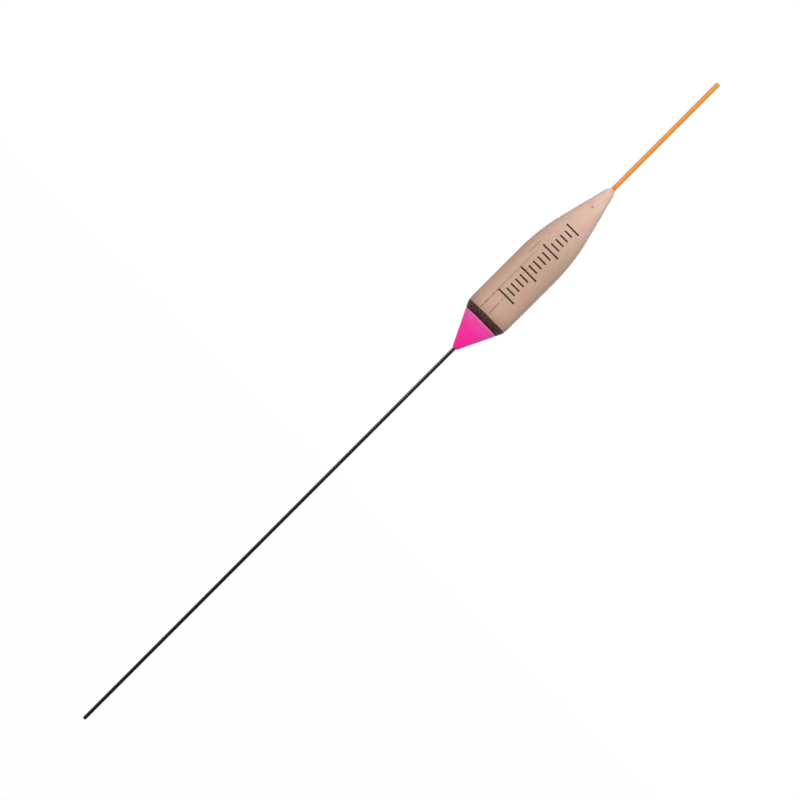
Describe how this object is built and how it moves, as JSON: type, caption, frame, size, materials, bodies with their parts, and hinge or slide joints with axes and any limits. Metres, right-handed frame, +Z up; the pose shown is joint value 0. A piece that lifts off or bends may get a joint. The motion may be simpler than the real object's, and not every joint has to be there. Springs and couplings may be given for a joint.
{
  "type": "bobber float",
  "caption": "Slim pole-fishing float: a turned balsa body with a long thin stem below, a fine sight antenna above and a wire line eye.",
  "frame": {"origin": "the stem's lower end, on the float's axis", "axes": "+Z up the float's axis from the stem to the antenna, as it stands in the water; the printed scale faces -Y and the line eye faces +Y"},
  "size_m": [0.0078, 0.0079, 0.1436],
  "materials": {
    "balsa_wood": "turned balsa under a thin clear varnish",
    "carbon_rod": "ground carbon-fibre rod, satin",
    "antenna_plastic": "drawn fluorescent orange rod",
    "eye_wire": "drawn stainless wire",
    "clear_glue": "cured clear epoxy",
    "white_undercoat": "brushed white undercoat",
    "pink_lacquer": "dipped fluorescent pink lacquer",
    "black_lacquer": "sponged brown-black lacquer band",
    "black_ink": "pad-printed ink"
  },
  "bodies": {
    "root": {"balsa_body": "balsa_wood", "stem": "carbon_rod", "antenna": "antenna_plastic", "line_eye": "eye_wire", "stem_glue": "clear_glue", "antenna_glue": "clear_glue", "eye_glue": "clear_glue", "primer_coat": "white_undercoat", "pink_coat": "pink_lacquer", "black_band": "black_lacquer", "scale_marks": "black_ink"}
  },
  "joints": []
}
